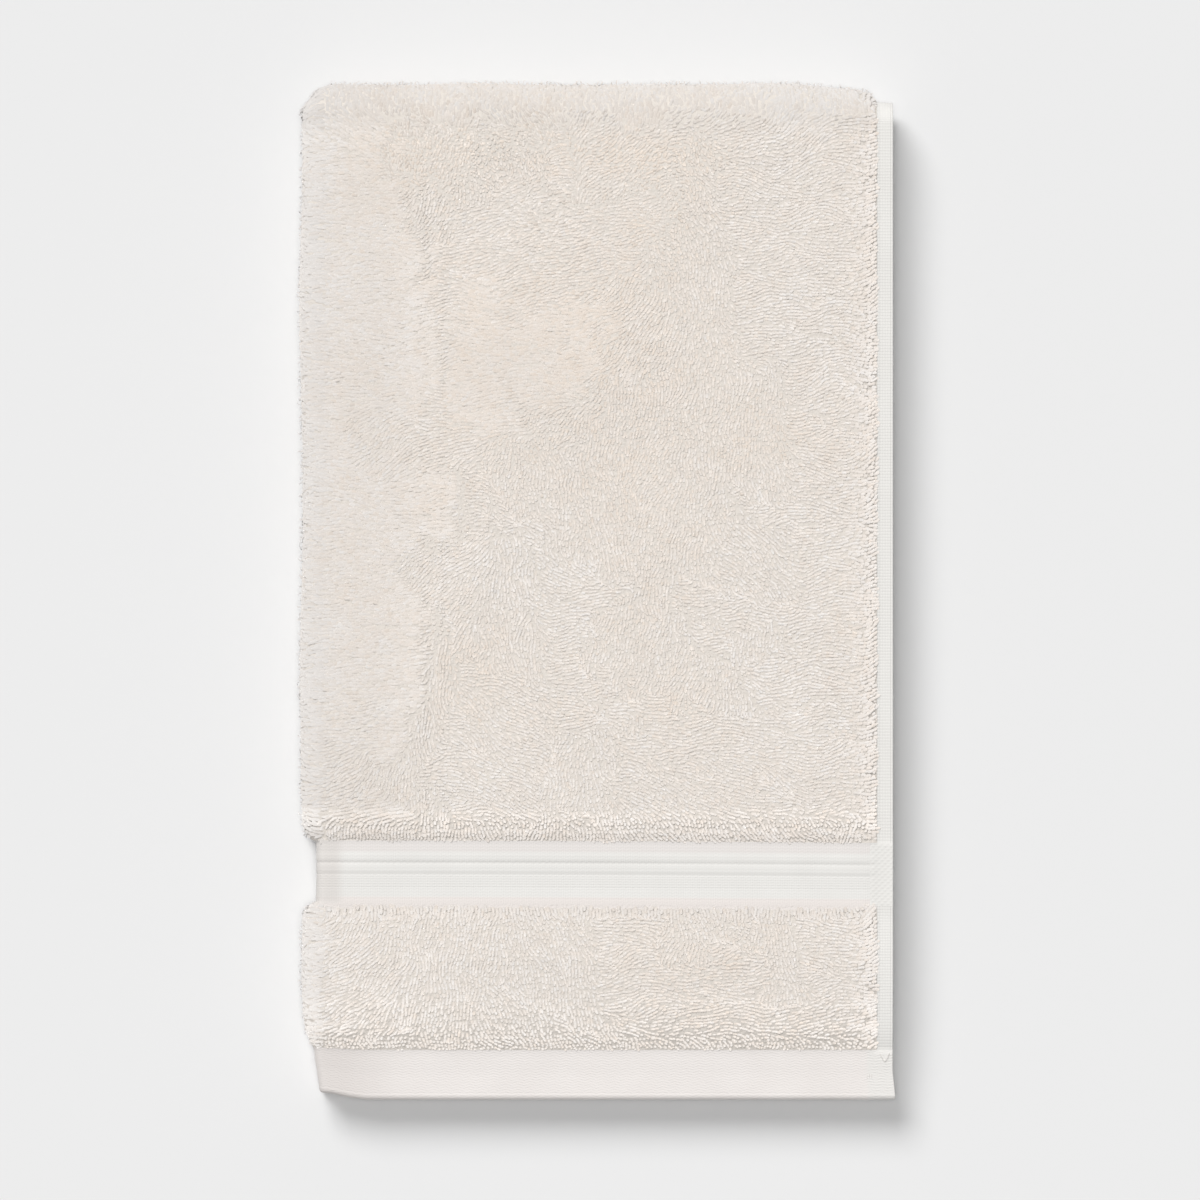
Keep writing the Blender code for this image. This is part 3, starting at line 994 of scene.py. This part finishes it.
def loops_mesh(name, roots, loops, rng, rings=RINGS):
    """Closed three-sided loops, joined in one mesh."""
    to_across, to_along, up = frames(roots)
    count = len(up)
    lean = to_across * loops.across[:, None] + to_along * loops.along[:, None]
    lean = unit(lean - up * (lean * up).sum(1, keepdims=True))
    aside = np.cross(up, lean)
    width = LOOP_WIDTH * rng.uniform(0.85, 1.15, count) * (1 + 0.25 * loops.smooth)
    width = width / np.maximum(loops.rise, 1)
    curl = rng.normal(0, 0.06, count) * loops.reach
    roll = rng.normal(0, 0.2, count)
    lit = unit(up + SKYWARD * eased(-0.5, 0.5, up[:, 2:]) * np.array([[0.0, 0.0, 1.0]]))

    levels = ((0.0, 0.0, 0.0), *rings, TIP)
    middles = [along_loops(roots, loops, gone, risen) for gone, risen, _ in levels]
    firm = ((1 - SOFTNESS) * (1 - 0.5 * loops.smooth))[:, None]
    points, tips, normals = [middles[0]], [np.zeros(count)], [lit]
    for before, middle, after, (gone, _, wide) in zip(middles, middles[1:], middles[2:], rings):
        middle = middle + aside * (curl * gone**2)[:, None]
        outwards = unit(np.cross(after - before, aside))
        for corner in range(3):
            angle = roll + math.pi / 2 + corner * 2 * math.pi / 3
            round_out = aside * np.cos(angle)[:, None], outwards * np.sin(angle)[:, None]
            spread = round_out[0] + round_out[1] * LOOP_FLATNESS
            points.append(middle + spread * (width * wide / 2)[:, None])
            normals.append(unit((round_out[0] + round_out[1]) * firm + lit * (1 - firm)))
            # Painted light along the crest, painted shade at the root and along the flanks
            start, finish = CREST if corner == 0 else FLANK
            pale = start + (finish - start) * gone
            tips.append(pale + (SMOOTH_TIP - pale) * 0.75 * loops.smooth)
    points.append(middles[-1] + aside * curl[:, None])
    tips.append(np.ones(count))
    normals.append(unit(lean * 0.3 + lit))
    each = len(points)
    points = np.stack(points, 1).reshape(-1, 3)
    points[:, 2] = np.maximum(points[:, 2], FLOOR_GAP)
    mesh = mesh_of(name, points, loop_faces(count, each))
    mesh.normals_split_custom_set_from_vertices(np.stack(normals, 1).reshape(-1, 3))
    tone, shade = np.repeat(loops.tone, each), np.repeat(loops.shade, each)
    for label, values in (("tone", tone), ("tip", np.stack(tips, 1).ravel()), ("shade", shade)):
        mesh.attributes.new(label, "FLOAT", "POINT").data.foreach_set("value", values.astype(np.float32))
    return mesh


MOST_LOOPS = 8000


def loop_pieces(name, roots, loops, rng, material, rings=RINGS):
    """The loops as pieces of a workable size, each over its own stretch of the cloth."""
    made = []
    order = np.argsort(roots.along, kind="stable")
    parts = np.array_split(order, max(1, math.ceil(len(order) / MOST_LOOPS)))
    for number, part in enumerate(parts, 1):
        chosen = Roots(*(values[part] for values in roots)), Loops(*(values[part] for values in loops))
        label = f"{name}_{number}"
        made.append(piece(label, loops_mesh(label, *chosen, rng, rings), material))
    return made


def turned_by(lean, angle):
    """Leans turned by these angles."""
    c, s = np.cos(angle), np.sin(angle)
    return np.stack([lean[0] * c - lean[1] * s, lean[0] * s + lean[1] * c])


def trimmed(reach, roots, x, heading, rng):
    """Reaches cut short so that tips hang only a little way over the weave beside the terry."""
    side, end = from_edges(roots.across, roots.along)
    lower = end < (TERRY_ENDS[0][1] + TERRY_ENDS[1][0]) / 2
    over_hem = HEM_TIPS - 0.0013 * np.exp(-(((x + 0.078) / 0.016) ** 2)) + 0.0012 * eased(0.085, 0.1, x)
    over_border = BORDER_TIPS - 0.0007 * x / 0.1
    uneven = 0.0003 * rng.normal(size=len(x)) + 0.0004 * ripple(roots.across, roots.along, 0.005, 51)
    ragged = np.clip(0.0007 * ripple(roots.across, roots.along, 0.006, 52), -0.001, 0.0012)
    room = (
        (np.cos(heading), side - SIDE_TIPS + ragged),
        (-np.sin(heading), end - np.where(lower, over_hem, over_border)),
        (np.sin(heading), np.where(lower, TERRY_ENDS[0][1] + 0.0003 - end, LENGTH)),
    )
    for towards, far in room:
        most = (far + uneven) / np.maximum(towards, 0.05)
        reach = np.where(towards > 0.05, np.minimum(reach, most), reach)
    return np.maximum(reach, LEAST_REACH)


def top_roots(rng):
    """Roots on the crests of the top face's rows, closer beside woven edges, and their places from above."""
    stretch = PILE_SIDE, SIDE_STRAIGHT, TOP_FROM, LENGTH, 0.0012, 0.00128, 1
    whole, more = scattered(*stretch, rng), scattered(*stretch, rng)
    side, end = from_edges(more.across, more.along)
    low_edges = np.logical_or.reduce([(end > low) & (end < low + 0.004) for low, _ in PILE_ENDS])
    beside = (side < PILE_SIDE + 0.0035) | low_edges
    roots = Roots(*(np.concatenate([a, b[beside]]) for a, b in zip(whole, more)))
    place = over(roots)
    step_x, step_y = moved_to_rows(combed_rows(), place[:, 0], place[:, 1])
    moved = Roots(roots.across - step_x, roots.along - step_y, roots.face)
    return moved, place[:, 0] + step_x, place[:, 1] + step_y


def make_top_pile(material):
    """Loops all over the top face, in its combed rows."""
    rng = np.random.default_rng(3)
    roots, x, y = top_roots(rng)
    lay = combed(x, y)[2]
    loose = 0.07 + 0.25 * tangled(x, y)
    heading = heading_at(x, y) + rng.normal(0, 1, len(x)) * loose
    reach = np.clip(0.0005 + 0.0019 * lay + rng.normal(0, 0.0003, len(x)), 0.0006, 0.004)
    reach = trimmed(reach, roots, x, heading, rng)
    tall = 0.03 * ripple(x, y, 0.006, 14)
    rise = 1.02 - 0.1 * lay + tall + rng.normal(0, 1, len(x)) * (0.04 + 0.05 * tangled(x, y))
    rise = np.clip(rise, 0.6, 1.35)
    outer = np.maximum(eased(0.084, 0.092, x), eased(0.096, 0.101, -x))
    smooth = np.maximum(eased(0.8, 0.98, lay), 0.8 * outer)
    looks = smooth, toned(x, y, rng), uneven_and_painted_light(x, y, smooth, rng)
    loops = Loops(-np.cos(heading), -np.sin(heading), reach, rise, *looks)
    return loop_pieces("pile_top", roots, loops, rng, material)


STRAYS = 0.5  # share of the loops along the folds' outline that stand out from the rest


def make_fold_pile(material):
    """Loops round the outside of both folds, which lean on down over them."""
    rng = np.random.default_rng(4)
    left = SIDE_STRAIGHT, WIDTH - SIDE_STRAIGHT, 0.0, LENGTH, 0.00072, 0.0015, 1
    far = PILE_SIDE, SIDE_STRAIGHT, END_STRAIGHT - 0.002, TOP_FROM, 0.0014, 0.00118, 1
    made = []
    for name, stretch, way in (("pile_left", left, (1.0, 0.0)), ("pile_far", far, (0.0, -1.0))):
        roots = scattered(*stretch, rng)
        count = len(roots.across)
        lean = np.array(way)[:, None] * np.ones(count)
        if name == "pile_left":
            lean = lean * np.where(roots.along > LENGTH / 2, 1, -1)
        wander = 0.35 * ripple(roots.across, roots.along, 0.012, 21)
        lean = turned_by(lean, wander + rng.normal(0, 0.3, count))
        level = frames(roots)[2][:, 2]
        outermost = eased(-0.5, -0.2, level) - eased(0.05, 0.3, level)
        stray = outermost * (rng.uniform(0, 1, count) < STRAYS)
        reach = np.clip(0.0022 - 0.0008 * stray + rng.normal(0, 0.0004, count), 0.001, 0.0036)
        rise = np.clip(0.95 + stray * rng.uniform(0.5, 2.4, count) + rng.normal(0, 0.08, count), 0.6, 3.6)
        x, y, _ = over(roots).T
        smooth = np.ones(count)
        # Painted light on the strays
        shade = uneven_and_painted_light(x, y, smooth, rng) + 0.03 * stray
        loops = Loops(*lean, reach, rise, smooth, toned(x, y, rng), shade)
        made += loop_pieces(name, roots, loops, rng, material)
    return made


def make_hidden_pile(material):
    """Loops on the underside, pressed flat, and on the layers' faces where they show between free edges."""
    rng = np.random.default_rng(5)
    under = scattered(PILE_SIDE, SIDE_STRAIGHT, 0.0, END_STRAIGHT, 0.0024, 0.0027, 1, rng)
    runs = [("pile_under", under, SHORT_RINGS)]
    depth = PILE_SIDE + 0.006
    rims = []
    for face, low, high in ((1, WIDTH - depth, WIDTH), (-1, WIDTH - depth, WIDTH), (-1, 0.0, depth)):
        rims.append(scattered(low, high, 0.0, LENGTH, 0.0014, 0.0017, face, rng))
    rims.append(scattered(0.0, depth, 0.0, END_STRAIGHT, 0.0014, 0.0017, 1, rng))
    runs.append(("pile_rim", Roots(*(np.concatenate(values) for values in zip(*rims))), RINGS))
    made = []
    for name, roots, rings in runs:
        count = len(roots.across)
        outwards = np.where(roots.across < WIDTH / 2, -1.0, 1.0)
        lean = turned_by(np.stack([outwards, 0 * outwards]), rng.normal(0, 0.6, count))
        reach = np.clip(0.002 + rng.normal(0, 0.0004, count), 0.001, 0.003)
        rise = np.clip(0.8 + rng.normal(0, 0.08, count), 0.5, 0.95)
        x, y, _ = over(roots).T
        smooth = np.zeros(count)
        loops = Loops(*lean, reach, rise, smooth, toned(x, y, rng), uneven_and_painted_light(x, y, smooth, rng))
        made += loop_pieces(name, roots, loops, rng, material, rings)
    return made


# ---- sewing

# Threads on the top layer's hem: places from the side edge, from the end and above it, in millimetres
THREADS = (
    ((4.5, 16.1, 0.3), (3.8, 14.7, 0.5), (3.3, 13.7, 0.3), (2.6, 13.4, 0.2)),
    ((2.8, 13.3, 0.3), (2.2, 14.2, 0.5), (1.6, 15.2, 0.4), (1.2, 16.3, 0.2)),
    ((7.6, 9.4, -0.2), (7.6, 8.7, 0.1), (7.5, 7.9, 0.1), (7.5, 7.2, -0.2)),
    ((8.3, 9.5, -0.2), (8.3, 8.8, 0.1), (8.4, 8, 0.1), (8.4, 7.3, -0.2)),
    ((9, 9, -0.2), (9.1, 8.3, 0.1), (9.1, 7.6, 0.1), (9.2, 6.8, -0.2)),
)
THREAD_RADIUS = 0.0001
THREAD_STEPS = 4  # between two places
THREAD_SIDES = 6


def thread_line(places):
    """Points along one thread, rounded between its places, where they lie over the towel's hem."""
    knots = np.array(places) / 1000
    at = np.linspace(0, len(knots) - 1, THREAD_STEPS * (len(knots) - 1) + 1)
    side, end, lift = (np.interp(at, np.arange(len(knots)), values) for values in knots.T)
    for _ in range(2):
        for values in (side, end, lift):
            values[1:-1] = (values[:-2] + 2 * values[1:-1] + values[2:]) / 4
    across, along = side, LENGTH - end
    return laid(across, along, face_out(across, along, 1) + lift)


def make_threads():
    """Each thread as a closed tube, all in one mesh."""
    points, quads, caps = [], [], []
    for places in THREADS:
        middle = thread_line(places)
        ahead = unit(np.gradient(middle, axis=0))
        aside = unit(np.cross(ahead, [[0.0, 0.0, 1.0]]))
        upwards = np.cross(aside, ahead)
        turn = np.arange(THREAD_SIDES) * 2 * math.pi / THREAD_SIDES
        ring = np.cos(turn)[None, :, None] * aside[:, None] + np.sin(turn)[None, :, None] * upwards[:, None]
        start = sum(len(part) for part in points)
        points.append((middle[:, None] + ring * THREAD_RADIUS).reshape(-1, 3))
        at = start + np.arange(len(middle) * THREAD_SIDES).reshape(-1, THREAD_SIDES)
        low, high = at[:-1], at[1:]
        quads.append(np.stack([low, np.roll(low, -1, 1), np.roll(high, -1, 1), high], -1).reshape(-1, 4))
        caps += [at[0][::-1], at[-1]]
    mesh = mesh_of("hem_threads", np.concatenate(points), [np.concatenate(quads), np.array(caps)])
    return [piece("hem_threads", mesh, thread_cotton())]


# ---- stage

FRAME_ACROSS = 0.4164  # what the picture's width spans at the towel's top
TOP_HEIGHT = 0.024
CAMERA_RISE = 4.0
CAMERA_X, CAMERA_Y = 0.00094, -0.00305
SENSOR = 36.0

# Wide soft lamps far away: where each stands as seen from the towel, its spread in degrees, and its power
Lamp = namedtuple("Lamp", "name x y z spread power")
LAMPS = (
    Lamp("key", -0.42, 0.84, 1.00, 30, 2.16),
    Lamp("overhead", 0.0, 0.0, 1.0, 16, 1.15),
)
FILL = 0.2  # light from all round
BACKDROP = 0.8
FLOOR = (0.79, 0.79, 0.79)
FLOOR_SIZE = 8.0
WHITE = (1.0, 1.0, 1.0, 1.0)


def make_stage():
    """The camera straight above, a plain pale floor and soft light from beyond the crosswise fold."""
    scene = bpy.context.scene
    camera = placed("camera", bpy.data.cameras.new("camera"))
    camera.data.sensor_width = SENSOR
    camera.data.lens = SENSOR * CAMERA_RISE / FRAME_ACROSS
    camera.location = (CAMERA_X, CAMERA_Y, TOP_HEIGHT + CAMERA_RISE)
    scene.camera = camera

    bpy.ops.mesh.primitive_plane_add(size=FLOOR_SIZE, location=(0, 0, 0))
    floor = bpy.context.object
    floor.name = "floor"
    material, _, shader = cotton("floor", 0.9, 0.0)
    shader.inputs["Base Color"].default_value = (*FLOOR, 1.0)
    floor.data.materials.append(material)

    for lamp in LAMPS:
        data = bpy.data.lights.new(lamp.name, "SUN")
        data.angle = math.radians(lamp.spread)
        data.energy = lamp.power
        towards = Vector((lamp.x, lamp.y, lamp.z))
        placed(lamp.name, data).rotation_euler = towards.to_track_quat("Z", "Y").to_euler()

    world = bpy.data.worlds.new("world")
    world.use_nodes = True
    tree = world.node_tree
    seen = add(tree, "ShaderNodeBackground", {"Color": WHITE, "Strength": BACKDROP})
    cast = add(tree, "ShaderNodeBackground", {"Color": WHITE, "Strength": FILL})
    ray = add(tree, "ShaderNodeLightPath").outputs["Is Camera Ray"]
    both = add(tree, "ShaderNodeMixShader", {0: ray, 1: cast.outputs[0], 2: seen.outputs[0]})
    tree.links.new(both.outputs[0], tree.nodes["World Output"].inputs["Surface"])
    scene.world = world
    scene.view_settings.view_transform = "Standard"


make_stage()
cloth = make_cloth()
pile = pile_cotton()
loops = make_top_pile(pile) + make_fold_pile(pile) + make_hidden_pile(pile) + make_threads()
